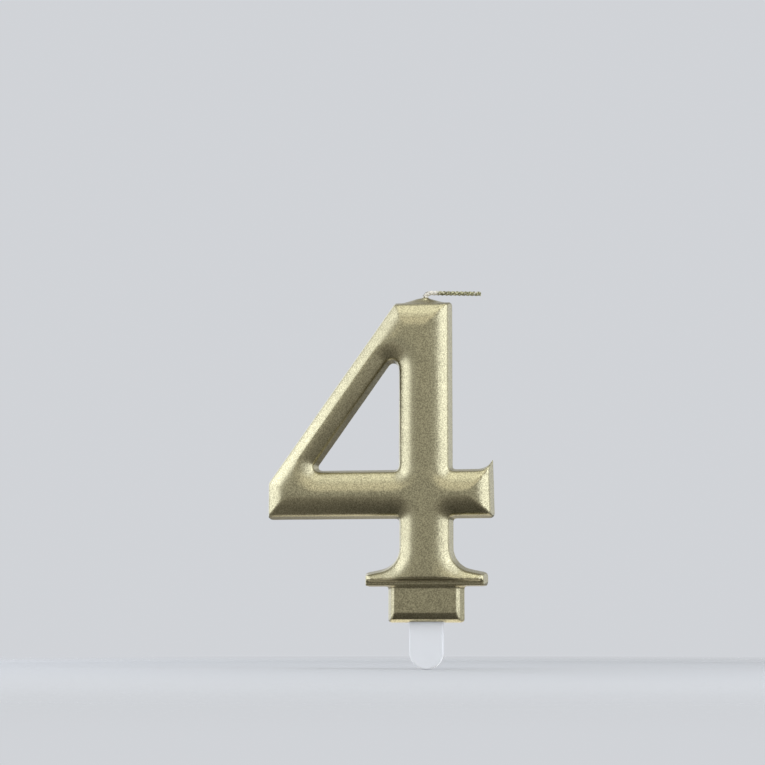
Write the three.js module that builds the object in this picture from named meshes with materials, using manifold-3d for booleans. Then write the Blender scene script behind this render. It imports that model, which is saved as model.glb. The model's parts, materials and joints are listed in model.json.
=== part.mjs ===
// Number candle in the shape of a 4: a wax casting with a serif foot and a base block,
// a cotton wick bent over at the top, and a plastic pick that holds it in a cake.
// Units are millimetres. +Z is up, the front faces -Y, and X = 0 is the middle of the lower stem.
// Z = 0 is the underside of the base block, which is where the top of the cake comes.

import * as THREE from 'three';
import { mergeVertices } from 'three/addons/utils/BufferGeometryUtils.js';
import Module from 'manifold-3d';

const degrees = THREE.MathUtils.degToRad;

// Heights of the casting, each measured up from the block's underside
const footUnderside = 8.9;
const barUnderside = 25.6;
const numeralTop = 79.65;

// Strokes
const stemWidth = 13.6;
const upperStemOffset = -0.12;
const barHeight = 12.25;
const barLeftReach = 40.0;
const barRightReach = 17.15;
const diagonalWidth = 8.0;
const diagonalAngle = degrees(54.3);
const diagonalOverhang = 0.9;

// Spur that rises from the right end of the bar
const spurHeight = 2.7;
const spurLean = 0.4;
const spurHollowRadius = 4.0;

// Serif foot
const footHalfWidth = 15.4;
const footTipHeight = 3.4;
const footSlope = degrees(11);
const flareRadius = 5.5;

// Rounding of the outline's corners
const barCornerRadius = 1.25;
const bendCornerRadius = 2.0;
const topCornerRadius = 1.0;
const footTipRadius = 1.2;
const innerCornerRadius = 0.5;
const counterApexRadius = 1.3;
const counterCornerRadius = 0.8;

// Section of a stroke, measured in from the outline: a drafted wall, then a domed face
const wallDraft = 0.7;
const wallHeight = 3.3;
const domeWidth = 6.0;
const domeHeight = 2.6;

// The foot's lower edge has a low flat lip and a steep step up to the face instead of the dome
const footLipDraft = 0.15;
const footLipHeight = 3.3;
const footLipWidth = 1.15;
const footStepWidth = 0.6;

// Base block: drafted sides with a narrow bevel, and a flat underside with a wider one
const blockWidth = 19.2;
const blockSideDraft = 1.0;
const blockSideBevel = 0.9;
const blockWallHeight = 1.8;
const blockBevelHeight = 0.8;
const blockUndersideDepth = 2.0;
const blockLowerDraft = 0.8;
const blockLowerBevel = 1.5;
const blockLowerBevelHeight = 0.45;
const blockCornerRadius = 1.0;

// Low crown of wax drawn up around the wick on the top edge
const crownHeight = 1.25;
const crownLength = 12.0;

// Wick
const wickDiameter = 1.2;
const wickBoreClearance = 0.28;
const wickLowerEnd = 14.6;
const wickStubHeight = 1.35;
const wickBendHeight = 2.35;
const wickFreeLength = 13.95;
const wickDroop = degrees(2.2);
const wickEndSetback = 0.35;

// Pick
const pickWidth = 8.5;
const pickThickness = 1.4;
const pickReach = 11.5;
const pickInsertLength = 9.0;
const pickClearance = 0.3;
const pickEdgeBevel = 0.25;
const pickTopChamfer = 0.8;
const barbCount = 3;
const barbDepth = 0.7;
const barbFirst = 1.2;
const barbTopMargin = 0.9;
const barbTipHeight = 0.3;

// Fineness of the faceted surfaces
const domeSteps = 8;
const arcStep = degrees(10);
const latheSegments = 36;
const crownSteps = 12;
const wickSides = 8;

// How far a cut or a joined piece runs past the surface that it has to cross
const overrun = 1.0;
const skim = 0.04;

// Places worked out from the sizes above
const halfThickness = wallHeight + domeHeight;
const blockHalfThickness = blockWallHeight + blockBevelHeight;
const cutReach = halfThickness + overrun;
const barTop = barUnderside + barHeight;
const lowerStemRight = stemWidth / 2;
const lowerStemLeft = -stemWidth / 2;
const upperStemRight = upperStemOffset + stemWidth / 2;
const upperStemLeft = upperStemOffset - stemWidth / 2;
const numeralTopLeft = upperStemLeft - diagonalOverhang;
const footTipTop = footUnderside + footTipHeight;
const wickX = upperStemOffset;

// Height on the diagonal's outer or inner line at x, and x at a height
const diagonalRise = Math.tan(diagonalAngle);
const innerTopX = numeralTopLeft + diagonalWidth / Math.sin(diagonalAngle);
const outerLineHeight = (x) => numeralTop - (numeralTopLeft - x) * diagonalRise;
const innerLineHeight = (x) => numeralTop - (innerTopX - x) * diagonalRise;
const innerLineX = (z) => innerTopX - (numeralTop - z) / diagonalRise;

// Solids are joined and cut as closed meshes
const wasm = await Module();
wasm.setup();

function solidFrom(geometry) {
  const bare = geometry.clone();
  bare.deleteAttribute('normal');
  bare.deleteAttribute('uv');
  const merged = mergeVertices(bare, 1e-5);
  return new wasm.Manifold(new wasm.Mesh({
    numProp: 3,
    vertProperties: new Float32Array(merged.attributes.position.array),
    triVerts: new Uint32Array(merged.index.array),
  }));
}

function geometryFrom(solid) {
  const mesh = solid.getMesh();
  const geometry = new THREE.BufferGeometry();
  geometry.setAttribute('position', new THREE.BufferAttribute(new Float32Array(mesh.vertProperties), 3));
  geometry.setIndex(new THREE.BufferAttribute(new Uint32Array(mesh.triVerts), 1));
  geometry.computeVertexNormals();
  return geometry;
}

const joined = (solids) => solids.reduce((whole, solid) => whole.add(solid));

// A box between two corners
function boxSolid(low, high) {
  const size = high.clone().sub(low);
  const geometry = new THREE.BoxGeometry(size.x, size.y, size.z);
  const middle = high.clone().add(low).multiplyScalar(0.5);
  geometry.translate(middle.x, middle.y, middle.z);
  return solidFrom(geometry);
}

// A flat outline drawn in X and Z, made solid to the same depth in front and behind
function slabSolid(shape, halfDepth) {
  const geometry = new THREE.ExtrudeGeometry(shape, { depth: 2 * halfDepth, bevelEnabled: false });
  geometry.rotateX(Math.PI / 2);
  geometry.translate(0, halfDepth, 0);
  return solidFrom(geometry);
}

// Sections: height of the surface above the middle plane against distance in from the outline
const point = (x, y) => new THREE.Vector2(x, y);
const domedSection = [
  point(0, 0),
  point(wallDraft, wallHeight),
  ...Array.from({ length: domeSteps }, (unused, i) => {
    const share = (i + 1) / domeSteps;
    return point(wallDraft + domeWidth * share, wallHeight + domeHeight * (1 - (1 - share) ** 2));
  }),
];
const footSection = [
  point(0, 0),
  point(footLipDraft, footLipHeight),
  point(footLipDraft + footLipWidth, footLipHeight),
  point(footLipDraft + footLipWidth + footStepWidth, halfThickness),
];
const blockSideSection = [
  point(0, 0),
  point(blockSideDraft, blockWallHeight),
  point(blockSideDraft + blockSideBevel, blockHalfThickness),
];
const blockLowerSection = [
  point(0, blockUndersideDepth / 2),
  point(blockLowerDraft, blockHalfThickness - blockLowerBevelHeight),
  point(blockLowerDraft + blockLowerBevel, blockHalfThickness),
];

// What a section takes off, front and back: its last slope is carried on until it is clear of the face
function cutShape(section, inner, shift) {
  const last = section.at(-1);
  const slope = last.clone().sub(section.at(-2));
  const clear = last.clone().addScaledVector(slope, skim / slope.y);
  const front = [...section, clear].map((p) => point(p.x + shift, p.y));
  const back = front.map((p) => point(p.x, -p.y)).reverse();
  const outer = front.at(-1).x;
  const ring = [point(inner, -cutReach), point(outer, -cutReach), ...back, ...front];
  ring.push(point(outer, cutReach), point(inner, cutReach));
  return ring.filter((p, i) => i === 0 || p.distanceTo(ring[i - 1]) > 1e-6);
}

// Cutter along a straight edge from a to b, which has the material on its left seen from the front
function edgeCutter(a, b, section) {
  const along = new THREE.Vector3(b.x - a.x, 0, b.y - a.y);
  const depth = along.length();
  along.normalize();
  const inward = new THREE.Vector3(-along.z, 0, along.x);
  const forward = new THREE.Vector3(0, -1, 0);
  const shape = new THREE.Shape(cutShape(section, -overrun, 0));
  const geometry = new THREE.ExtrudeGeometry(shape, { depth, bevelEnabled: false });
  const place = new THREE.Matrix4().makeBasis(inward, forward, along).setPosition(a.x, 0, a.y);
  return solidFrom(geometry.applyMatrix4(place));
}

// Cutter round a hollow corner of the outline, where the material lies outside the circle
function cornerCutter(centre, radius, section) {
  const geometry = new THREE.LatheGeometry(cutShape(section, 0, radius), latheSegments);
  return solidFrom(geometry.translate(centre.x, 0, centre.y));
}

// Each corner of an outline with its rounding worked out, for a loop with the material on its left
function roundedCorners(corners) {
  return corners.map((corner, i) => {
    const before = corners.at(i - 1).at;
    const after = corners[(i + 1) % corners.length].at;
    const arriving = corner.at.clone().sub(before).normalize();
    const leaving = after.clone().sub(corner.at).normalize();
    const turn = Math.atan2(arriving.cross(leaving), arriving.dot(leaving));
    const reach = corner.radius * Math.tan(Math.abs(turn) / 2);
    const start = corner.at.clone().addScaledVector(arriving, -reach);
    const end = corner.at.clone().addScaledVector(leaving, reach);
    const side = point(-arriving.y, arriving.x).multiplyScalar(Math.sign(turn));
    const centre = start.clone().addScaledVector(side, corner.radius);
    return { ...corner, start, end, centre, turn, hollow: turn < 0 };
  });
}

// Points of the loop: a rounded outer corner as an arc, a hollow one as its chord, which its cutter rounds
function loopPoints(rounded) {
  return rounded.flatMap(({ start, end, centre, radius, turn, hollow }) => {
    if (hollow || radius === 0) {
      return [start, end];
    }
    const steps = Math.ceil(turn / arcStep);
    const from = start.clone().sub(centre);
    return Array.from({ length: steps + 1 }, (unused, i) => (
      from.clone().rotateAround(point(0, 0), turn * i / steps).add(centre)
    ));
  });
}

function loopCutters(rounded) {
  return rounded.flatMap((corner, i) => {
    const next = rounded[(i + 1) % rounded.length];
    const from = corner.hollow ? corner.end : corner.at;
    const to = next.hollow ? next.start : next.at;
    const cutters = from.distanceTo(to) > skim ? [edgeCutter(from, to, corner.section)] : [];
    return corner.hollow ? [...cutters, cornerCutter(corner.centre, corner.radius, corner.section)] : cutters;
  });
}

// The numeral's outline, anticlockwise from the foot; each section belongs to the edge that follows
const corner = (x, z, radius, section = domedSection) => ({ at: point(x, z), radius, section });
const flareCornerHeight = footTipTop + (footHalfWidth - lowerStemRight) * Math.tan(footSlope);
const spurSweep = Math.acos((spurHollowRadius - spurHeight) / spurHollowRadius);
const spurTipX = barRightReach - spurLean;
const spurHollowX = spurTipX - spurHollowRadius * (Math.sin(spurSweep) - Math.tan(spurSweep / 2));
const outerCorners = roundedCorners([
  corner(-footHalfWidth, footUnderside, footTipRadius, footSection),
  corner(footHalfWidth, footUnderside, footTipRadius),
  corner(footHalfWidth, footTipTop, footTipRadius),
  corner(lowerStemRight, flareCornerHeight, flareRadius),
  corner(lowerStemRight, barUnderside, innerCornerRadius),
  corner(barRightReach, barUnderside, barCornerRadius),
  corner(spurTipX, barTop + spurHeight, 0),
  corner(spurHollowX, barTop, spurHollowRadius),
  corner(upperStemRight, barTop, innerCornerRadius),
  corner(upperStemRight, numeralTop, topCornerRadius),
  corner(numeralTopLeft, numeralTop, topCornerRadius),
  corner(-barLeftReach, outerLineHeight(-barLeftReach), bendCornerRadius),
  corner(-barLeftReach, barUnderside, barCornerRadius),
  corner(lowerStemLeft, barUnderside, innerCornerRadius),
  corner(lowerStemLeft, flareCornerHeight, flareRadius),
  corner(-footHalfWidth, footTipTop, footTipRadius),
]);

// The triangle inside the numeral, clockwise, so that the material is on its left too
const counterCorners = roundedCorners([
  corner(innerLineX(barTop), barTop, counterCornerRadius),
  corner(upperStemLeft, innerLineHeight(upperStemLeft), counterApexRadius),
  corner(upperStemLeft, barTop, counterCornerRadius),
]);

function numeralSolid() {
  const shape = new THREE.Shape(loopPoints(outerCorners));
  shape.holes.push(new THREE.Path(loopPoints(counterCorners)));
  const cutters = [...loopCutters(outerCorners), ...loopCutters(counterCorners)];
  return slabSolid(shape, halfThickness).subtract(joined(cutters));
}

function blockSolid() {
  const side = blockWidth / 2;
  const top = footUnderside + footLipDraft + overrun;
  const corners = roundedCorners([
    corner(-side, 0, blockCornerRadius),
    corner(side, 0, blockCornerRadius),
    corner(side, top, 0),
    corner(-side, top, 0),
  ]);
  const blank = slabSolid(new THREE.Shape(loopPoints(corners)), blockHalfThickness);
  return blank.subtract(joined([
    edgeCutter(point(-side, top + overrun), point(-side, -overrun), blockSideSection),
    edgeCutter(point(-side - overrun, 0), point(side + overrun, 0), blockLowerSection),
    edgeCutter(point(side, -overrun), point(side, top + overrun), blockSideSection),
  ]));
}

// The crown swells from the top edge's own sloping walls, and sinks just under them at its rim
function crownSolid() {
  const rootDepth = 2 * wallDraft;
  const geometry = new THREE.BoxGeometry(crownLength, 2 * wallHeight, rootDepth, crownSteps, crownSteps, 1);
  const position = geometry.attributes.position;
  const swell = (share) => (1 + Math.cos(Math.PI * share)) / 2;
  for (let i = 0; i < position.count; i += 1) {
    const x = position.getX(i);
    const y = position.getY(i);
    const rise = crownHeight * swell(2 * x / crownLength) * swell(y / wallHeight);
    const surface = rise - skim - wallDraft * Math.abs(y) / wallHeight;
    position.setZ(i, position.getZ(i) > 0 ? surface : -rootDepth);
  }
  geometry.translate((numeralTopLeft + upperStemRight) / 2, 0, numeralTop);
  return solidFrom(geometry);
}

// Hole for the wick, open at the top
function wickBoreSolid() {
  const radius = wickDiameter / 2 + wickBoreClearance;
  const low = wickLowerEnd - wickBoreClearance;
  const high = numeralTop + crownHeight + overrun;
  const geometry = new THREE.CylinderGeometry(radius, radius, high - low, 2 * wickSides);
  geometry.rotateX(Math.PI / 2);
  geometry.translate(wickX, 0, (low + high) / 2);
  return solidFrom(geometry);
}

// Slot for the pick, open at the underside
function pickSlotSolid() {
  const halfWidth = pickWidth / 2 + pickClearance;
  const halfDepth = pickThickness / 2 + pickClearance;
  return boxSolid(
    new THREE.Vector3(-halfWidth, -halfDepth, -overrun),
    new THREE.Vector3(halfWidth, halfDepth, pickInsertLength + pickClearance),
  );
}

function candleBodyGeometry() {
  const casting = joined([numeralSolid(), blockSolid(), crownSolid()]);
  return geometryFrom(casting.subtract(wickBoreSolid()).subtract(pickSlotSolid()));
}

// A straight length of wick along +Z from low to high
function wickGeometry(low, high) {
  const radius = wickDiameter / 2;
  const geometry = new THREE.CylinderGeometry(radius, radius, high - low, wickSides);
  geometry.rotateX(Math.PI / 2);
  return geometry.translate(0, 0, (low + high) / 2);
}

// Half of the pick's outline from the tip up: round end, straight blade, then barbs that hold in the wax
function pickOutline() {
  const half = pickWidth / 2 - pickEdgeBevel;
  const neck = half - barbDepth;
  const top = pickInsertLength - pickEdgeBevel;
  const tip = -pickReach + pickEdgeBevel;
  const barbPitch = (pickInsertLength - barbFirst - barbTopMargin) / barbCount;
  const roundSteps = Math.round(Math.PI / 2 / arcStep);
  const round = Array.from({ length: roundSteps + 1 }, (unused, i) => {
    const angle = Math.PI / 2 * i / roundSteps;
    return point(half * Math.sin(angle), tip + half * (1 - Math.cos(angle)));
  });
  const barbs = Array.from({ length: barbCount }, (unused, i) => {
    const ledge = barbFirst + barbPitch * (i + 1);
    return [point(neck, ledge), point(half, ledge), point(half, ledge + barbTipHeight)];
  }).flat();
  const right = [...round, point(half, barbFirst), ...barbs];
  right.push(point(half - pickTopChamfer, top));
  const left = right.slice(1).reverse().map((p) => point(-p.x, p.y));
  return new THREE.Shape([...right, ...left]);
}

function pickGeometry() {
  const geometry = new THREE.ExtrudeGeometry(pickOutline(), {
    depth: pickThickness - 2 * pickEdgeBevel,
    bevelThickness: pickEdgeBevel,
    bevelSize: pickEdgeBevel,
    bevelSegments: 2,
  });
  geometry.translate(0, 0, pickEdgeBevel - pickThickness / 2);
  return geometry.rotateX(Math.PI / 2);
}

// Finishes
const goldPaint = new THREE.MeshStandardMaterial({ color: 0xb9b08a, metalness: 0.85, roughness: 0.38 });
const waxedCotton = new THREE.MeshStandardMaterial({ color: 0xd9d2bd, metalness: 0.0, roughness: 0.8 });
const goldedCotton = new THREE.MeshStandardMaterial({ color: 0xa79c6e, metalness: 0.5, roughness: 0.6 });
const whitePlastic = new THREE.MeshStandardMaterial({ color: 0xdde1e8, metalness: 0.0, roughness: 0.4 });

function piece(name, geometry, material) {
  const mesh = new THREE.Mesh(geometry, material);
  mesh.name = name;
  return mesh;
}

// The candle, with its wick in it and the bent end of the wick on top
const candle = new THREE.Group();
candle.add(piece('candle_body', candleBodyGeometry(), goldPaint));

const wick = piece('wick', wickGeometry(wickLowerEnd, numeralTop + wickStubHeight), waxedCotton);
wick.position.x = wickX;
candle.add(wick);

const wickEnd = piece('wick_end', wickGeometry(-wickEndSetback, wickFreeLength), goldedCotton);
wickEnd.position.set(wickX, 0, numeralTop + wickBendHeight);
wickEnd.rotation.y = Math.PI / 2 + wickDroop;
candle.add(wickEnd);

const numberCandle = new THREE.Group();
numberCandle.add(candle);
numberCandle.add(piece('cake_pick', pickGeometry(), whitePlastic));

export default numberCandle;
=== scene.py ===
"""Looks of a moulded number candle: gold casting, cotton wick and white pick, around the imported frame."""

import json
import math
import random

import bmesh
import bpy
from bpy.props import FloatProperty, FloatVectorProperty, IntProperty, PointerProperty
from bpy.types import Operator, Panel, PropertyGroup
from mathutils import Matrix, Vector, noise


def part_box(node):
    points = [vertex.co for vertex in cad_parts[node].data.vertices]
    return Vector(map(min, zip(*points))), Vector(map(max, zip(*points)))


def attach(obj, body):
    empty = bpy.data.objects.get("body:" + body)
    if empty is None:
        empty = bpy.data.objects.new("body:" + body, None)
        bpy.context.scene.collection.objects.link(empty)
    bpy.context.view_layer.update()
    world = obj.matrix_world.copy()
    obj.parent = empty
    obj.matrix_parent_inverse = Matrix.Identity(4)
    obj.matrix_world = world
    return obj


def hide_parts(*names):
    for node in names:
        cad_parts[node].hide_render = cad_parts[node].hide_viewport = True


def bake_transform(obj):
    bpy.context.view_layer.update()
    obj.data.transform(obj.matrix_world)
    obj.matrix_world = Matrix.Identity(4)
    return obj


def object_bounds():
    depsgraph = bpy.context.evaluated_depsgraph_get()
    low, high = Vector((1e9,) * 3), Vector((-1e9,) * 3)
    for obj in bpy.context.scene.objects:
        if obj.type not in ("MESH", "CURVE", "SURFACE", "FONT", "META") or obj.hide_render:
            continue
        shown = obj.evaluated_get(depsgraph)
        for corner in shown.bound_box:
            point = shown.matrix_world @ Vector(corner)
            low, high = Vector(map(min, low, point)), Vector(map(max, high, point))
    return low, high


bl_info = {
    "name": "Number Candle",
    "version": (1, 0, 0),
    "blender": (4, 5, 0),
    "location": "View3D > Sidebar > Candle",
    "description": "Builds the finish of a moulded number candle around its fixed frame",
    "category": "Add Mesh",
}

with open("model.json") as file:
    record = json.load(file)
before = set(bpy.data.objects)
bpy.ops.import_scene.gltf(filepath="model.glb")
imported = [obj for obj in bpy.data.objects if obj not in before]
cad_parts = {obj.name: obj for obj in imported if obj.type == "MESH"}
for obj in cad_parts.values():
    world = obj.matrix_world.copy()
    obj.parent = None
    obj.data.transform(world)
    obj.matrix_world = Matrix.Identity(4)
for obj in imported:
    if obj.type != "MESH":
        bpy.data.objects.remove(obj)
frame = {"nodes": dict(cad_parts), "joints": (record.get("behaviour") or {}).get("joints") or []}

MM = 0.001
MERGE_DISTANCE = 1e-6
CAD_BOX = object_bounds()
CASTING_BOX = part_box("candle_body")
WICK_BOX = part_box("wick")
WICK_END_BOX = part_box("wick_end")
PICK_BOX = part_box("cake_pick")
BEND = Vector(next(j for j in frame["joints"] if j["name"] == "wick_bend")["pos_m"])
FOOT_TOP = 11.6 * MM
WALL_HEIGHT = 3.3 * MM
FOOT_LIP = (9.0 * MM, 10.3 * MM)
FOOT_LIP_BAND = 0.15 * MM
CARD_EDGE = -3.5 * MM

# The photograph is 765 pixels square. X = 0 lies at its column 426.5 and Z = 0 at its row 621.5,
# and a millimetre of the candle is 4 pixels wide.
PHOTO_SIZE = 765
PHOTO_ORIGIN = (426.5, 621.5)
PHOTO_PIXELS_PER_MM = 4.0


class CastingSettings(PropertyGroup):
    """The moulded wax body."""

    voxel: FloatProperty(
        name="Mesh step", description="Spacing of the fine mesh laid over the casting",
        default=0.26 * MM, unit="LENGTH", precision=5,
    )
    thinning: FloatProperty(
        name="Thinning", description="Share of the fine mesh's faces that stay", default=0.73,
        subtype="FACTOR",
    )
    softening: IntProperty(
        name="Softening", description="Smoothing passes that round the creases between the strokes",
        default=6,
    )
    rim_softening: IntProperty(
        name="Rim softening", description="Further passes where a stroke's dome meets its wall",
        default=10,
    )
    rim_band: FloatProperty(
        name="Rim band", description="How far each side of that edge the further passes reach",
        default=1.0 * MM, unit="LENGTH", precision=4,
    )
    edge_softening: IntProperty(
        name="Edge softening", description="Smoothing passes on the crisper foot and block", default=3,
    )
    waviness: FloatProperty(
        name="Waviness", description="How far the wax surface wanders from true",
        default=0.03 * MM, unit="LENGTH", precision=5,
    )
    wave_length: FloatProperty(
        name="Wave length", description="Distance over which the wax surface wanders",
        default=9.0 * MM, unit="LENGTH", precision=4,
    )
    bore_margin: FloatProperty(
        name="Bore margin",
        description="Wax round the wick bore and the pick slot that stays as it is cut",
        default=0.45 * MM, unit="LENGTH", precision=4,
    )
    collar_radius: FloatProperty(
        name="Collar radius",
        description="Radius of the small cone of wax that climbs the wick, at its foot",
        default=1.3 * MM, unit="LENGTH", precision=4,
    )
    collar_height: FloatProperty(
        name="Collar height", description="How far the wax climbs the wick above the crown",
        default=0.2 * MM, unit="LENGTH", precision=4,
    )
    seam_width: FloatProperty(
        name="Seam width", description="Half width of the line where the two mould halves met",
        default=0.4 * MM, unit="LENGTH", precision=4,
    )
    seam_height: FloatProperty(
        name="Seam height", description="How far that line stands out", default=0.05 * MM,
        unit="LENGTH", precision=5,
    )


class PaintSettings(PropertyGroup):
    """The metallic spray over the wax."""

    gold: FloatVectorProperty(
        name="Gold", description="Colour of the metallic paint", subtype="COLOR", size=4,
        default=(0.46, 0.418, 0.262, 1.0),
    )
    umber: FloatVectorProperty(
        name="Umber", description="Darker tone between the flakes", subtype="COLOR", size=4,
        default=(0.25, 0.225, 0.138, 1.0),
    )
    flake_size: FloatProperty(
        name="Flake size", description="Size of the paint's grain",
        default=0.27 * MM, unit="LENGTH", precision=5,
    )
    flake_tilt: FloatProperty(
        name="Flake tilt", description="How far the grain leans the surface", default=0.22,
    )
    roughness: FloatProperty(
        name="Roughness", description="Roughness of the paint film", default=0.31, subtype="FACTOR",
    )
    lacquer: FloatProperty(
        name="Lacquer", description="Weight of the clear film over the flakes",
        default=0.2, subtype="FACTOR",
    )


class WickSettings(PropertyGroup):
    """The braided cotton wick."""

    strands: IntProperty(
        name="Strands", description="Strands that turn each way round the braid", default=3,
    )
    braid_pitch: FloatProperty(
        name="Braid pitch", description="Length over which a strand goes once round the wick",
        default=3.2 * MM, unit="LENGTH", precision=4,
    )
    strand_share: FloatProperty(
        name="Strand thickness", description="Radius of a strand as a share of the wick's radius",
        default=0.36,
    )
    weave: FloatProperty(
        name="Weave",
        description="How far a strand passes over and under, as a share of the wick's radius",
        default=0.13,
    )
    voxel: FloatProperty(
        name="Mesh step", description="Spacing of the fine mesh over the braid",
        default=0.055 * MM, unit="LENGTH", precision=5,
    )
    bend_radius: FloatProperty(
        name="Bend radius", description="Radius of the wick's bend",
        default=1.4 * MM, unit="LENGTH", precision=4,
    )
    root_swell: FloatProperty(
        name="Root swell",
        description="How much thicker the untwisted cotton is where it leaves the wax",
        default=0.3,
    )
    loose_fibres: IntProperty(
        name="Loose fibres", description="Broken ends of cotton that stand off the bend", default=26,
    )
    fibre_radius: FloatProperty(
        name="Fibre radius", description="Radius of a loose end",
        default=0.035 * MM, unit="LENGTH", precision=5,
    )
    cream_length: FloatProperty(
        name="Bare length", description="Length past the bend that the gold spray missed",
        default=2.6 * MM, unit="LENGTH", precision=4,
    )
    cream: FloatVectorProperty(
        name="Cotton", description="Colour of the waxed cotton", subtype="COLOR", size=4,
        default=(0.63, 0.595, 0.51, 1.0),
    )
    gilt: FloatVectorProperty(
        name="Gilt", description="Colour of the cotton where gold spray fell on it",
        subtype="COLOR", size=4, default=(0.45, 0.43, 0.26, 1.0),
    )
    gilt_shade: FloatVectorProperty(
        name="Gilt shade", description="Colour of the gilded cotton between its grains",
        subtype="COLOR", size=4, default=(0.115, 0.105, 0.055, 1.0),
    )
    # The loose ends at the bend are coloured darker than the rest of the wick
    fray: FloatVectorProperty(
        name="Fray", description="Colour of the loose ends, stained by the spray", subtype="COLOR", size=4,
        default=(0.22, 0.20, 0.17, 1.0),
    )


class PickSettings(PropertyGroup):
    """The plastic pick."""

    voxel: FloatProperty(
        name="Mesh step", description="Spacing of the fine mesh over the pick",
        default=0.14 * MM, unit="LENGTH", precision=5,
    )
    softening: IntProperty(
        name="Softening", description="Smoothing passes that round the pick's edges", default=6,
    )
    white: FloatVectorProperty(
        name="White", description="Colour of the plastic", subtype="COLOR", size=4,
        default=(0.745, 0.75, 0.76, 1.0),
    )


class StageSettings(PropertyGroup):
    """Camera, floor and light."""

    azimuth: FloatProperty(
        name="Azimuth", description="How far the camera stands round to the candle's right",
        default=math.radians(9.8), subtype="ANGLE",
    )
    elevation: FloatProperty(
        name="Elevation", description="How far the camera stands above level", default=math.radians(-6),
        subtype="ANGLE",
    )
    distance: FloatProperty(
        name="Distance", description="From the camera to the candle", default=0.6, unit="LENGTH",
    )
    room: FloatVectorProperty(
        name="Room", description="Colour of the plain room all round", subtype="COLOR", size=4,
        default=(0.635, 0.652, 0.682, 1.0),
    )
    room_glow: FloatVectorProperty(
        name="Room glow", description="Colour of the light that the room gives", subtype="COLOR", size=4,
        default=(0.62, 0.625, 0.615, 1.0),
    )
    floor: FloatVectorProperty(
        name="Floor", description="Colour of the plain floor", subtype="COLOR", size=4,
        default=(0.465, 0.468, 0.472, 1.0),
    )
    side_light: FloatProperty(
        name="Side light", description="Brightness of the soft boxes left and right", default=2.2,
    )
    rim_left_light: FloatProperty(
        name="Left rim light", description="Brightness of the soft box behind the candle on its left",
        default=1.1,
    )
    rim_right_light: FloatProperty(
        name="Right rim light",
        description="Brightness of the soft box behind the candle on its right", default=0.6,
    )
    upper_left_light: FloatProperty(
        name="Upper left light", description="Brightness of the soft box at the upper left", default=1.4,
    )
    upper_right_light: FloatProperty(
        name="Upper right light", description="Brightness of the soft box at the upper right",
        default=2.0,
    )
    top_light: FloatProperty(
        name="Top light", description="Brightness of the soft box overhead", default=1.6,
    )
    fill_light: FloatProperty(
        name="Fill light", description="Brightness of the soft box high in front", default=0.75,
    )
    # Painted shade: a dark sheet in front that only reflections see, darkest at its middle, standing in for
    # the shadow under and before the candle
    reflected_shade_card: FloatVectorProperty(
        name="Dark card", description="Brightness of the front card at its middle and at its rim",
        size=2, default=(0.045, 0.68),
    )
    # Painted reflection: a glowing sheet behind the candle that only reflections see, brightest at its
    # middle, lighting the lower rims as a lit card would
    reflected_glow_card: FloatVectorProperty(
        name="White card", description="Brightness of the rear card at its middle and at its rim",
        size=2, default=(2.2, 0.40),
    )
    # Painted reflection: a wide, dimmer glowing sheet behind the candle that only reflections see
    reflected_grey_glow_card: FloatVectorProperty(
        name="Grey card",
        description="Brightness of the wide rear card at its middle and at its rim",
        size=2, default=(0.6, 0.08),
    )
    wide_reach: FloatProperty(
        name="Wide cards' reach", description="Radius of the dark card and of the grey one",
        default=0.2, unit="LENGTH",
    )
    white_reach: FloatProperty(
        name="White card's reach", description="Radius of the white card", default=0.07, unit="LENGTH",
    )


class CandleSettings(PropertyGroup):
    """All settings of the candle."""

    casting: PointerProperty(type=CastingSettings)
    paint: PointerProperty(type=PaintSettings)
    wick: PointerProperty(type=WickSettings)
    pick: PointerProperty(type=PickSettings)
    stage: PointerProperty(type=StageSettings)


def settings():
    return bpy.context.scene.number_candle


# Meshes

SMOOTHING_STEP = 0.5


def add_object(name, data):
    piece = bpy.data.objects.new(name, data)
    bpy.context.scene.collection.objects.link(piece)
    return piece


def evaluated_mesh(holder):
    """The mesh of an object with its modifiers and bevels worked out; the object is used up."""
    graph = bpy.context.evaluated_depsgraph_get()
    mesh = bpy.data.meshes.new_from_object(holder.evaluated_get(graph))
    bpy.data.objects.remove(holder)
    return mesh


def merged_copy(node):
    """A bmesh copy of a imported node, with its loose triangles joined."""
    shape = bmesh.new()
    shape.from_mesh(frame["nodes"][node].data)
    bmesh.ops.remove_doubles(shape, verts=shape.verts[:], dist=MERGE_DISTANCE)
    return shape


def remeshed(shape, name, voxel):
    """The closed shape under an even skin of small faces; the bmesh that comes in is used up."""
    rough = bpy.data.meshes.new(name)
    shape.to_mesh(rough)
    shape.free()
    holder = add_object(name + "_rough", rough)
    skin = holder.modifiers.new("skin", "REMESH")
    skin.mode = "VOXEL"
    skin.voxel_size = voxel
    fine = evaluated_mesh(holder)
    bpy.data.meshes.remove(rough)
    even = bmesh.new()
    even.from_mesh(fine)
    bpy.data.meshes.remove(fine)
    return even


def soften(shape, verts, passes):
    for _ in range(passes):
        bmesh.ops.smooth_vert(
            shape, verts=verts, factor=SMOOTHING_STEP,
            use_axis_x=True, use_axis_y=True, use_axis_z=True,
        )


def finished(shape, name, material):
    """The piece's object, at the origin with its place in its mesh, shaded smooth."""
    mesh = bpy.data.meshes.new(name)
    for face in shape.faces:
        face.smooth = True
    shape.to_mesh(mesh)
    shape.free()
    mesh.materials.append(material)
    piece = add_object(name, mesh)
    return piece


# Materials

# The part of a noise's values that most points have
MID_NOISE = (0.3, 0.7)

# Metallic grain, and the slow drift of its roughness
GRAIN_DETAIL = 2.5
GRAIN_ROUGHNESS = 0.55
GRAIN_TONES = (0.41, 0.59)
DRIFT_SCALE = 180.0
DRIFT_DETAIL = 2.0
DRIFT_ROUGHNESS = (-0.03, 0.03)
LACQUER_ROUGHNESS = 0.3

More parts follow.
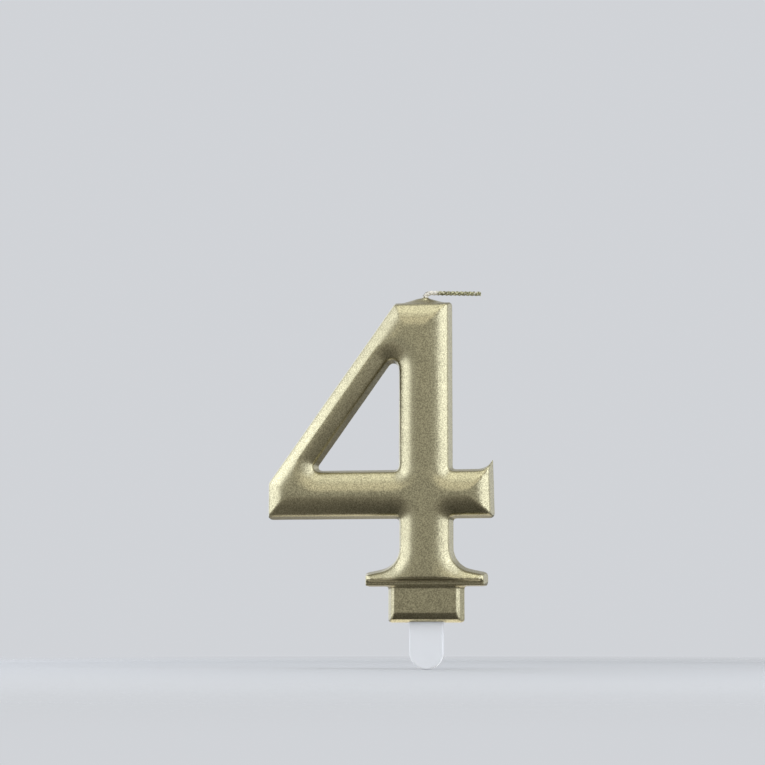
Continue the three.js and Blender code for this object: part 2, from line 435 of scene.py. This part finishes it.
# Gold spray on the cotton: its blotches, its ragged edge, the spots that it missed, its grain
BLOTCH_SCALE = 1300.0
BLOTCH_DETAIL = 3.0
RAGGED_WIDTH = 2.4 * MM
GILT_EDGE = 0.7 * MM
MISSED_SPOTS = (0.60, 0.68)
MISSED_COVER = (1.0, 0.25)
GILT_GRAIN = 0.4 * MM
GILT_TILT = 0.5
GILT_METAL = 0.7

# Fibres of the cotton
COTTON_ROUGHNESS = 0.5
FIBRE_SCALE = 9000.0
FIBRE_DETAIL = 2.0
FIBRE_BUMP = 0.6
FIBRE_BUMP_HEIGHT = 0.03 * MM

# Flow marks and fine skin of the moulded plastic, and how deep light goes into it
FLOW_SCALE = 320.0
FLOW_DETAIL = 3.0
FLOW_ROUGHNESS = (0.30, 0.35)
FLOW_VALUE = (0.995, 1.005)
SKIN_SCALE = 5200.0
SKIN_DETAIL = 2.0
SKIN_BUMP = 0.15
SKIN_BUMP_HEIGHT = 0.01 * MM
PLASTIC_GLOW = 0.15
PLASTIC_DEPTH = 0.6 * MM


def new_material(name):
    material = bpy.data.materials.new(name)
    material.use_nodes = True
    material.node_tree.nodes.clear()
    return material, material.node_tree


def add_node(tree, kind, inputs=None, **properties):
    node = tree.nodes.new(kind)
    for key, value in properties.items():
        setattr(node, key, value)
    for key, value in (inputs or {}).items():
        if isinstance(value, bpy.types.NodeSocket):
            tree.links.new(value, node.inputs[key])
        else:
            node.inputs[key].default_value = value
    return node


def add_mix(tree, share, first, second):
    """The colour between two others. A Mix node's colour sockets come after its number and vector ones."""
    return add_node(tree, "ShaderNodeMix", {0: share, 6: first, 7: second}, data_type="RGBA").outputs[2]


def add_math(tree, operation, *values, **properties):
    return add_node(
        tree, "ShaderNodeMath", dict(enumerate(values)), operation=operation, **properties,
    ).outputs[0]


def add_noise(tree, place, scale, detail, roughness=0.5):
    return add_node(
        tree, "ShaderNodeTexNoise",
        {"Vector": place, "Scale": scale, "Detail": detail, "Roughness": roughness},
    )


def add_range(tree, value, source, target=(0.0, 1.0), **properties):
    """A value carried over from one range to another."""
    inputs = {
        "Value": value,
        "From Min": source[0], "From Max": source[1],
        "To Min": target[0], "To Max": target[1],
    }
    return add_node(tree, "ShaderNodeMapRange", inputs, **properties).outputs["Result"]


def add_surface(tree, inputs):
    shader = add_node(tree, "ShaderNodeBsdfPrincipled", inputs)
    add_node(tree, "ShaderNodeOutputMaterial", {"Surface": shader.outputs["BSDF"]})


def new_group(name, inputs, outputs):
    """A shader node group with named sockets; each input is a name, a kind and a default."""
    group = bpy.data.node_groups.new(name, "ShaderNodeTree")
    for label, kind, default in inputs:
        socket = group.interface.new_socket(label, in_out="INPUT", socket_type=kind)
        if default is not None:
            socket.default_value = default
    for label, kind in outputs:
        group.interface.new_socket(label, in_out="OUTPUT", socket_type=kind)
    return group, add_node(group, "NodeGroupInput"), add_node(group, "NodeGroupOutput")


def metal_spray_group():
    """Fine metallic grain: the tone between flake and binder, and a normal that leans with each grain."""
    if "Metal spray" in bpy.data.node_groups:
        return bpy.data.node_groups["Metal spray"]
    group, given, out = new_group(
        "Metal spray",
        [
            ("Place", "NodeSocketVector", None),
            ("Flake", "NodeSocketColor", (0.5, 0.5, 0.5, 1.0)),
            ("Binder", "NodeSocketColor", (0.3, 0.3, 0.3, 1.0)),
            ("Grain size", "NodeSocketFloat", 0.3 * MM),
            ("Tilt", "NodeSocketFloat", 0.2),
        ],
        [
            ("Color", "NodeSocketColor"),
            ("Roughness offset", "NodeSocketFloat"),
            ("Normal", "NodeSocketVector"),
        ],
    )
    scale = add_math(group, "DIVIDE", 1.0, given.outputs["Grain size"])
    grain = add_noise(group, given.outputs["Place"], scale, GRAIN_DETAIL, GRAIN_ROUGHNESS)
    lean = add_node(
        group, "ShaderNodeVectorMath",
        {0: grain.outputs["Color"], 1: (0.5, 0.5, 0.5)}, operation="SUBTRACT",
    )
    leaning = add_node(
        group, "ShaderNodeVectorMath",
        {0: lean.outputs[0], "Scale": given.outputs["Tilt"]}, operation="SCALE",
    )
    surface = add_node(group, "ShaderNodeNewGeometry")
    tipped = add_node(
        group, "ShaderNodeVectorMath",
        {0: surface.outputs["Normal"], 1: leaning.outputs[0]}, operation="ADD",
    )
    normal = add_node(group, "ShaderNodeVectorMath", {0: tipped.outputs[0]}, operation="NORMALIZE")
    tone = add_range(group, grain.outputs["Fac"], GRAIN_TONES)
    colour = add_mix(group, tone, given.outputs["Binder"], given.outputs["Flake"])
    drift = add_noise(group, given.outputs["Place"], DRIFT_SCALE, DRIFT_DETAIL)
    offset = add_range(group, drift.outputs["Fac"], MID_NOISE, DRIFT_ROUGHNESS)
    group.links.new(colour, out.inputs["Color"])
    group.links.new(offset, out.inputs["Roughness offset"])
    group.links.new(normal.outputs[0], out.inputs["Normal"])
    return group


def add_spray(tree, place, flake, binder, grain, tilt):
    """A Metal spray group with its values; the outputs are its colour, roughness offset and normal."""
    spray = add_node(tree, "ShaderNodeGroup", node_tree=metal_spray_group())
    tree.links.new(place, spray.inputs["Place"])
    spray.inputs["Flake"].default_value = flake
    spray.inputs["Binder"].default_value = binder
    spray.inputs["Grain size"].default_value = grain
    spray.inputs["Tilt"].default_value = tilt
    return spray


def gold_paint():
    paint = settings().paint
    material, tree = new_material("gold_paint")
    place = add_node(tree, "ShaderNodeTexCoord")
    spray = add_spray(
        tree, place.outputs["Object"], paint.gold, paint.umber, paint.flake_size, paint.flake_tilt,
    )
    add_surface(tree, {
        "Base Color": spray.outputs["Color"],
        "Metallic": 1.0,
        "Roughness": add_math(tree, "ADD", spray.outputs["Roughness offset"], paint.roughness),
        "Normal": spray.outputs["Normal"],
        "Coat Weight": paint.lacquer,
        "Coat Roughness": LACQUER_ROUGHNESS,
    })
    return material


def wick_cotton():
    wick = settings().wick
    material, tree = new_material("gilded_cotton")
    along = add_node(tree, "ShaderNodeAttribute", attribute_name="wick_place")
    loose = add_node(tree, "ShaderNodeAttribute", attribute_name="wick_fray")
    parts = add_node(tree, "ShaderNodeSeparateXYZ", {"Vector": along.outputs["Vector"]})
    blotch = add_noise(tree, along.outputs["Vector"], BLOTCH_SCALE, BLOTCH_DETAIL)
    ragged = add_math(tree, "MULTIPLY_ADD", blotch.outputs["Fac"], RAGGED_WIDTH, -RAGGED_WIDTH / 2)
    reach = add_math(tree, "ADD", parts.outputs["Z"], ragged)
    gilt = add_range(tree, reach, (wick.cream_length - GILT_EDGE, wick.cream_length + GILT_EDGE))
    missed = add_range(tree, blotch.outputs["Fac"], MISSED_SPOTS, MISSED_COVER)
    cover = add_math(tree, "MULTIPLY", gilt, missed)
    spray = add_spray(
        tree, along.outputs["Vector"], wick.gilt, wick.gilt_shade, GILT_GRAIN, GILT_TILT,
    )
    sprayed = add_mix(tree, cover, wick.cream, spray.outputs["Color"])
    fibre = add_noise(tree, along.outputs["Vector"], FIBRE_SCALE, FIBRE_DETAIL)
    fuzz = add_node(
        tree, "ShaderNodeBump",
        {
            "Strength": FIBRE_BUMP, "Distance": FIBRE_BUMP_HEIGHT,
            "Height": fibre.outputs["Fac"], "Normal": spray.outputs["Normal"],
        },
    )
    add_surface(tree, {
        # The loose ends take the darker fray colour
        "Base Color": add_mix(tree, loose.outputs["Fac"], sprayed, wick.fray),
        "Metallic": add_math(tree, "MULTIPLY", cover, GILT_METAL),
        "Roughness": COTTON_ROUGHNESS,
        "Normal": fuzz.outputs["Normal"],
    })
    return material


def white_plastic():
    pick = settings().pick
    material, tree = new_material("white_plastic")
    place = add_node(tree, "ShaderNodeTexCoord")
    flow = add_noise(tree, place.outputs["Object"], FLOW_SCALE, FLOW_DETAIL)
    skin = add_noise(tree, place.outputs["Object"], SKIN_SCALE, SKIN_DETAIL)
    bump = add_node(
        tree, "ShaderNodeBump",
        {"Strength": SKIN_BUMP, "Distance": SKIN_BUMP_HEIGHT, "Height": skin.outputs["Fac"]},
    )
    value = add_range(tree, flow.outputs["Fac"], MID_NOISE, FLOW_VALUE)
    shade = add_node(tree, "ShaderNodeHueSaturation", {"Color": pick.white, "Value": value})
    add_surface(tree, {
        "Base Color": shade.outputs["Color"],
        "Roughness": add_range(tree, flow.outputs["Fac"], MID_NOISE, FLOW_ROUGHNESS),
        "Normal": bump.outputs["Normal"],
        "Subsurface Weight": PLASTIC_GLOW,
        "Subsurface Radius": (1.0, 1.0, 1.0),
        "Subsurface Scale": PLASTIC_DEPTH,
    })
    return material


# Casting

COLLAR_SEGMENTS = 48
BORE_MOUTH_DEPTH = 1.6 * MM
CUT_END_MARGIN = 1.0 * MM


def wander(point, size, amount):
    """Slow drift of a surface, the same on every run."""
    return amount * noise.noise(point / size)


def add_collar(shape, casting):
    """A small cone of wax that climbs the wick and closes the mouth of its bore."""
    top = CASTING_BOX[1].z
    low = top - 2.0 * casting.collar_height
    high = top + casting.collar_height
    bmesh.ops.create_cone(
        shape, cap_ends=True, segments=COLLAR_SEGMENTS,
        radius1=casting.collar_radius, radius2=wick_radius(),
        depth=high - low, matrix=Matrix.Translation((BEND.x, 0, (low + high) / 2)),
    )


def is_cut_wall(point, casting):
    """Whether a point of the casting lies in the wick bore or the pick slot, which stay as cut."""
    bore = max(WICK_BOX[1].x - BEND.x, 0.0) + 2 * casting.bore_margin
    in_bore = abs(point.x - BEND.x) < bore and abs(point.y) < bore
    in_bore = in_bore and point.z > WICK_BOX[0].z - CUT_END_MARGIN
    in_bore = in_bore and point.z < CASTING_BOX[1].z - BORE_MOUTH_DEPTH
    in_slot = abs(point.x) < PICK_BOX[1].x + 2 * casting.bore_margin
    in_slot = in_slot and abs(point.y) < PICK_BOX[1].y + casting.bore_margin
    in_slot = in_slot and point.z < PICK_BOX[1].z + CUT_END_MARGIN
    return in_bore or in_slot


def is_foot_lip(point):
    """Whether a point lies on the flat narrow face along the foot's lower edge."""
    return FOOT_LIP[0] < point.z < FOOT_LIP[1] and abs(abs(point.y) - WALL_HEIGHT) < FOOT_LIP_BAND


class CANDLE_OT_casting(Operator):
    """Lay a fine smooth skin over the moulded wax body and paint it gold"""

    bl_idname = "candle.casting"
    bl_label = "Gold casting"

    def execute(self, context):
        casting = settings().casting
        shape = merged_copy("candle_body")
        add_collar(shape, casting)
        shape = remeshed(shape, "candle_casting", casting.voxel)
        outside = [v for v in shape.verts if not is_cut_wall(v.co, casting)]
        strokes = [v for v in outside if v.co.z > FOOT_TOP]
        soften(shape, [v for v in outside if not is_foot_lip(v.co)], casting.edge_softening)
        soften(shape, strokes, casting.softening - casting.edge_softening)
        rims = [v for v in strokes if abs(abs(v.co.y) - WALL_HEIGHT) < casting.rim_band]
        soften(shape, rims, casting.rim_softening)
        shape.normal_update()
        for vert in outside:
            drift = wander(vert.co, casting.wave_length, casting.waviness) - casting.waviness
            seam = casting.seam_height * max(1 - abs(vert.co.y) / casting.seam_width, 0)
            vert.co += vert.normal * (drift + seam)
        piece = finished(shape, "candle_casting", gold_paint())
        thin = piece.modifiers.new("thin", "DECIMATE")
        thin.ratio = casting.thinning
        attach(piece, "candle")
        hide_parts("candle_body")
        return {"FINISHED"}


# Wick

# Fineness of the braid, and the smooth core and buried length inside it
STEPS_PER_TURN = 40
STRAND_RESOLUTION = 3
BRAID_SMOOTHING = 2
CORE_SEGMENTS = 12
BURIED_SEGMENTS = 16
BURIED_SHARE = 0.95

# Where the braid starts below the crown, how far the plain length runs up into it,
# and the angle of the bend over which its swollen root fades
BRAID_DEPTH = 1.5 * MM
BRAID_OVERLAP = 0.2 * MM
SWELL_TURN = 1.57

# Loose ends: how far round the wick and along the bend they root, and how long they are
# and how far they lift, in millimetres
FIBRE_SEED = 7
FIBRE_SPREAD = 0.9
FIBRE_ROOTS = (0.45, 0.95)
FIBRE_LENGTHS = (0.5, 1.1)
FIBRE_LIFTS = (0.02, 0.32)
FIBRE_STEPS = 5
FIBRE_RESOLUTION = 1
FIBRE_START = 0.85
FIBRE_TWIST = 0.25


def wick_radius():
    return (WICK_BOX[1].x - WICK_BOX[0].x) / 2


def new_rods(name, radius, resolution):
    """A curve that turns the lines drawn on it into round rods with closed ends."""
    curve = bpy.data.curves.new(name, "CURVE")
    curve.dimensions = "3D"
    curve.bevel_depth = radius
    curve.bevel_resolution = resolution
    curve.use_fill_caps = True
    return curve


def braid_strand(curve, wick, turn, start, length):
    """One strand as curve points: it circles the wick and passes over and under the others."""
    radius = wick_radius()
    middle = radius * (1 - wick.strand_share - wick.weave)
    steps = round(length / wick.braid_pitch * STEPS_PER_TURN)
    line = curve.splines.new("POLY")
    line.points.add(steps)
    for i, point in enumerate(line.points):
        height = length * i / steps
        phase = 2 * math.pi * height / wick.braid_pitch
        reach = middle + turn * radius * wick.weave * math.cos(wick.strands * phase)
        angle = turn * phase + start
        point.co = (reach * math.cos(angle), reach * math.sin(angle), height, 1.0)


def braid(wick, length):
    """The straight braid along +Z as one closed skin."""
    curve = new_rods("braid", wick_radius() * wick.strand_share, STRAND_RESOLUTION)
    for i in range(wick.strands):
        start = 2 * math.pi * i / wick.strands
        braid_strand(curve, wick, 1, start, length)
        braid_strand(curve, wick, -1, start, length)
    mesh = evaluated_mesh(add_object("braid", curve))
    shape = bmesh.new()
    shape.from_mesh(mesh)
    bpy.data.meshes.remove(mesh)
    core = wick_radius() * (1 - 2 * wick.strand_share)
    bmesh.ops.create_cone(
        shape, cap_ends=True, segments=CORE_SEGMENTS, radius1=core, radius2=core, depth=length,
        matrix=Matrix.Translation((0, 0, length / 2)),
    )
    shape = remeshed(shape, "braid", wick.voxel)
    soften(shape, shape.verts[:], BRAID_SMOOTHING)
    return shape


def loose_ends(wick, rise):
    """Broken fibres that lie back round the outside of the bend, placed as on the straight braid."""
    chance = random.Random(FIBRE_SEED)
    arc = wick.bend_radius * math.pi / 2
    curve = new_rods("loose_ends", wick.fibre_radius, FIBRE_RESOLUTION)
    for _ in range(wick.loose_fibres):
        side = math.pi + chance.uniform(-FIBRE_SPREAD, FIBRE_SPREAD)
        root = rise + arc * chance.uniform(*FIBRE_ROOTS)
        length = chance.uniform(*FIBRE_LENGTHS) * MM
        lift = chance.uniform(*FIBRE_LIFTS) * MM
        line = curve.splines.new("POLY")
        line.points.add(FIBRE_STEPS)
        for i, point in enumerate(line.points):
            share = i / FIBRE_STEPS
            reach = wick_radius() * FIBRE_START + lift * share ** 2
            angle = side + FIBRE_TWIST * share
            point.co = (reach * math.cos(angle), reach * math.sin(angle), root - length * share, 1.0)
    return evaluated_mesh(add_object("loose_ends", curve))


def bent(place, wick, rise):
    """Where a point of the straight wick goes: up out of the wax, over the bend and out to the right."""
    droop = math.atan2(BEND.z - WICK_END_BOX[0].z - wick_radius(), WICK_END_BOX[1].x - BEND.x)
    turn = math.pi / 2 + droop
    arc = wick.bend_radius * turn
    centre = Vector((BEND.x + wick.bend_radius, 0, BEND.z - wick.bend_radius))
    height = place.z - rise
    bending = min(max(height, 0.0), arc)
    angle = bending / wick.bend_radius
    out = Vector((-math.cos(angle), 0, math.sin(angle)))
    ahead = Vector((math.sin(angle), 0, math.cos(angle)))
    spare = height - bending
    return centre + out * (wick.bend_radius - place.x) + ahead * spare + Vector((0, place.y, 0))


def buried_wick(shape, low, high):
    """The plain length inside the wax, under the braid."""
    radius = wick_radius() * BURIED_SHARE
    bmesh.ops.create_cone(
        shape, cap_ends=True, segments=BURIED_SEGMENTS, radius1=radius, radius2=radius,
        depth=high - low, matrix=Matrix.Translation((BEND.x, 0, (low + high) / 2)),
    )


class CANDLE_OT_wick(Operator):
    """Braid the cotton wick, dust it with gold and bend it over to the right"""

    bl_idname = "candle.wick"
    bl_label = "Cotton wick"

    def execute(self, context):
        wick = settings().wick
        braid_low = CASTING_BOX[1].z - BRAID_DEPTH
        rise = BEND.z - wick.bend_radius - braid_low
        length = rise + wick.bend_radius * (math.pi / 2 - 1) + (WICK_END_BOX[1].x - BEND.x)
        shape = braid(wick, length)
        place = shape.verts.layers.float_vector.new("wick_place")
        fray = shape.verts.layers.float.new("wick_fray")
        for vert in shape.verts:
            fade = 1 - (vert.co.z - rise) / wick.bend_radius / SWELL_TURN
            swell = 1 + wick.root_swell * min(max(fade, 0), 1)
            vert.co = Vector((vert.co.x * swell, vert.co.y * swell, vert.co.z))
        braided = len(shape.verts)
        shape.from_mesh(loose_ends(wick, rise))
        shape.verts.ensure_lookup_table()
        for i, vert in enumerate(shape.verts):
            straight = vert.co.copy()
            vert[place] = straight - Vector((0, 0, rise + wick.bend_radius))
            vert[fray] = 1.0 if i >= braided else 0.0
            vert.co = bent(straight, wick, rise)
        buried_wick(shape, WICK_BOX[0].z, braid_low + BRAID_OVERLAP)
        piece = finished(shape, "braided_wick", wick_cotton())
        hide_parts("wick", "wick_end")
        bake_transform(piece)
        return {"FINISHED"}


# Pick

class CANDLE_OT_pick(Operator):
    """Round the edges of the plastic pick"""

    bl_idname = "candle.pick"
    bl_label = "Plastic pick"

    def execute(self, context):
        pick = settings().pick
        shape = remeshed(merged_copy("cake_pick"), "pick_blade", pick.voxel)
        soften(shape, shape.verts[:], pick.softening)
        piece = finished(shape, "pick_blade", white_plastic())
        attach(piece, "pick")
        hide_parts("cake_pick")
        return {"FINISHED"}


# Stage

SENSOR_WIDTH = 36.0
CAMERA_CLIP = (0.01, 20.0)
AIM_HEIGHT = 0.045
DISC_SEGMENTS = 96
FLOOR_RADIUS = 0.5
FLOOR_FADE = (0.16, 0.40)
FLOOR_ROUGHNESS = 0.9
FLOOR_SHINE = 0.1
CARD_LIFT = 0.2 * MM
GREY_CARD_LIFT = 0.1 * MM
CARD_TINT = (1.0, 0.97, 0.93, 1.0)
FRONT = -1
BEHIND = 1

COOL = (0.93, 1.0, 1.16)
PLAIN = (0.99, 1.02, 1.0)
WARM = (1.04, 1.0, 0.90)

# Each soft box: its name, its place, its width and height, the setting that gives its
# brightness, and its tint
SOFT_BOXES = (
    ("left_soft_box", (-0.42, -0.08, 0.11), (0.36, 0.36), "side_light", COOL),
    ("right_soft_box", (0.40, -0.11, 0.11), (0.38, 0.36), "side_light", COOL),
    ("rim_left_soft_box", (-0.33, 0.29, 0.17), (0.40, 0.56), "rim_left_light", COOL),
    ("rim_right_soft_box", (0.34, 0.30, 0.10), (0.34, 0.40), "rim_right_light", COOL),
    ("upper_left_soft_box", (-0.34, -0.10, 0.36), (0.34, 0.32), "upper_left_light", COOL),
    ("upper_right_soft_box", (0.31, -0.15, 0.36), (0.30, 0.26), "upper_right_light", COOL),
    ("top_soft_box", (0.0, -0.13, 0.50), (0.36, 0.28), "top_light", PLAIN),
    ("fill_soft_box", (0.0, -0.39, 0.33), (0.5, 0.26), "fill_light", WARM),
)


def add_camera(stage):
    """The photograph's view: aimed so that the candle's frame falls on the photograph's own pixels."""
    across = PHOTO_SIZE / PHOTO_PIXELS_PER_MM * MM
    middle = PHOTO_SIZE / 2
    aim = Vector((
        (middle - PHOTO_ORIGIN[0]) / PHOTO_PIXELS_PER_MM * MM, 0,
        (PHOTO_ORIGIN[1] - middle) / PHOTO_PIXELS_PER_MM * MM,
    ))
    back = Vector((
        math.sin(stage.azimuth) * math.cos(stage.elevation),
        -math.cos(stage.azimuth) * math.cos(stage.elevation),
        math.sin(stage.elevation),
    ))
    lens = bpy.data.cameras.new("camera")
    lens.sensor_width = SENSOR_WIDTH
    lens.lens = lens.sensor_width * stage.distance / across
    lens.clip_start, lens.clip_end = CAMERA_CLIP
    camera = add_object("camera", lens)
    camera.location = aim + back * stage.distance
    camera.rotation_euler = (-back).to_track_quat("-Z", "Y").to_euler()
    bpy.context.scene.camera = camera


def add_soft_box(name, place, size, brightness, tint):
    """A rectangular lamp aimed at the candle; brightness is how bright its face looks."""
    lamp = bpy.data.lights.new(name, "AREA")
    lamp.shape = "RECTANGLE"
    lamp.size, lamp.size_y = size
    lamp.energy = brightness * math.pi * size[0] * size[1]
    lamp.color = tint
    box = add_object(name, lamp)
    box.location = place
    aim = Vector((0, 0, AIM_HEIGHT)) - Vector(place)
    box.rotation_euler = aim.to_track_quat("-Z", "Y").to_euler()
    box.visible_camera = False


def floor_material(stage):
    """Plain pale floor that fades into the room at its rim and is clear from below."""
    material, tree = new_material("pale_floor")
    place = add_node(tree, "ShaderNodeTexCoord")
    reach = add_node(tree, "ShaderNodeVectorMath", {0: place.outputs["Object"]}, operation="LENGTH")
    fade = add_range(
        tree, reach.outputs["Value"], FLOOR_FADE, (1.0, 0.0), interpolation_type="SMOOTHSTEP",
    )
    side = add_node(tree, "ShaderNodeNewGeometry")
    add_surface(tree, {
        "Base Color": stage.floor,
        "Roughness": FLOOR_ROUGHNESS,
        "Specular IOR Level": FLOOR_SHINE,
        "Alpha": add_math(tree, "SUBTRACT", fade, side.outputs["Backfacing"], use_clamp=True),
    })
    return material


def add_floor(stage):
    shape = bmesh.new()
    bmesh.ops.create_circle(
        shape, cap_ends=True, segments=DISC_SEGMENTS, radius=FLOOR_RADIUS,
        matrix=Matrix.Translation((0, 0, CAD_BOX[0].z)),
    )
    mesh = bpy.data.meshes.new("floor")
    shape.to_mesh(mesh)
    shape.free()
    mesh.materials.append(floor_material(stage))
    add_object("floor", mesh)


# The cards' glow is painted light and shade: it shows only in the candle's reflections
def card_glow(name, brightness, reach):
    """A glow that runs evenly from one brightness at a card's middle to another at its rim."""
    material, tree = new_material(name)
    place = add_node(tree, "ShaderNodeTexCoord")
    distance = add_node(
        tree, "ShaderNodeVectorMath", {0: place.outputs["Object"]}, operation="LENGTH",
    )
    glow = add_range(tree, distance.outputs["Value"], (0.0, reach), brightness)
    shader = add_node(tree, "ShaderNodeEmission", {"Color": CARD_TINT, "Strength": glow})
    add_node(tree, "ShaderNodeOutputMaterial", {"Surface": shader.outputs["Emission"]})
    return material


def add_card(name, side, brightness, reach, height):
    """Half a round card on the floor, in front or behind, which only the candle's reflections show."""
    shape = bmesh.new()
    bmesh.ops.create_circle(shape, cap_ends=True, segments=DISC_SEGMENTS, radius=reach)
    bmesh.ops.translate(shape, verts=shape.verts, vec=(0, 0, CAD_BOX[0].z + height))
    bmesh.ops.bisect_plane(
        shape, geom=shape.verts[:] + shape.edges[:] + shape.faces[:],
        plane_co=(0, CARD_EDGE, 0), plane_no=(0, -side, 0), clear_outer=True,
    )
    mesh = bpy.data.meshes.new(name)
    shape.to_mesh(mesh)
    shape.free()
    mesh.materials.append(card_glow(name, brightness, reach))
    card = add_object(name, mesh)
    for ray in ("camera", "diffuse", "shadow", "transmission", "volume_scatter"):
        setattr(card, "visible_" + ray, False)


def add_room(stage):
    world = bpy.data.worlds.new("room")
    world.use_nodes = True
    world.node_tree.nodes.clear()
    rays = add_node(world.node_tree, "ShaderNodeLightPath")
    colour = add_mix(world.node_tree, rays.outputs["Is Camera Ray"], stage.room_glow, stage.room)
    glow = add_node(world.node_tree, "ShaderNodeBackground", {"Color": colour, "Strength": 1.0})
    add_node(world.node_tree, "ShaderNodeOutputWorld", {"Surface": glow.outputs["Background"]})
    bpy.context.scene.world = world


class CANDLE_OT_stage(Operator):
    """Set the camera, the pale floor and the soft light"""

    bl_idname = "candle.stage"
    bl_label = "Stage"

    def execute(self, context):
        stage = settings().stage
        add_camera(stage)
        add_room(stage)
        add_floor(stage)
        # Cards that only reflections see: painted shade in front, painted reflections of light behind
        add_card("reflected_shade_card", FRONT, stage.reflected_shade_card, stage.wide_reach, CARD_LIFT)
        add_card("reflected_glow_card", BEHIND, stage.reflected_glow_card, stage.white_reach, CARD_LIFT)
        add_card("reflected_grey_glow_card", BEHIND, stage.reflected_grey_glow_card, stage.wide_reach, GREY_CARD_LIFT)
        for name, place, size, light, tint in SOFT_BOXES:
            add_soft_box(name, place, size, getattr(stage, light), tint)
        context.scene.view_settings.view_transform = "Standard"
        return {"FINISHED"}


class CANDLE_PT_parts(Panel):
    """Lists the candle's pieces"""

    bl_idname = "CANDLE_PT_parts"
    bl_label = "Number candle"
    bl_space_type = "VIEW_3D"
    bl_region_type = "UI"
    bl_category = "Candle"

    def draw(self, context):
        for step in (CANDLE_OT_casting, CANDLE_OT_wick, CANDLE_OT_pick, CANDLE_OT_stage):
            self.layout.operator(step.bl_idname)


CLASSES = (
    CastingSettings, PaintSettings, WickSettings, PickSettings, StageSettings, CandleSettings,
    CANDLE_OT_casting, CANDLE_OT_wick, CANDLE_OT_pick, CANDLE_OT_stage, CANDLE_PT_parts,
)


def register():
    for kind in CLASSES:
        bpy.utils.register_class(kind)
    bpy.types.Scene.number_candle = PointerProperty(type=CandleSettings)


def unregister():
    del bpy.types.Scene.number_candle
    for kind in reversed(CLASSES):
        bpy.utils.unregister_class(kind)


def main():
    register()
    bpy.ops.candle.casting()
    bpy.ops.candle.wick()
    bpy.ops.candle.pick()
    bpy.ops.candle.stage()


if __name__ == "__main__":
    main()
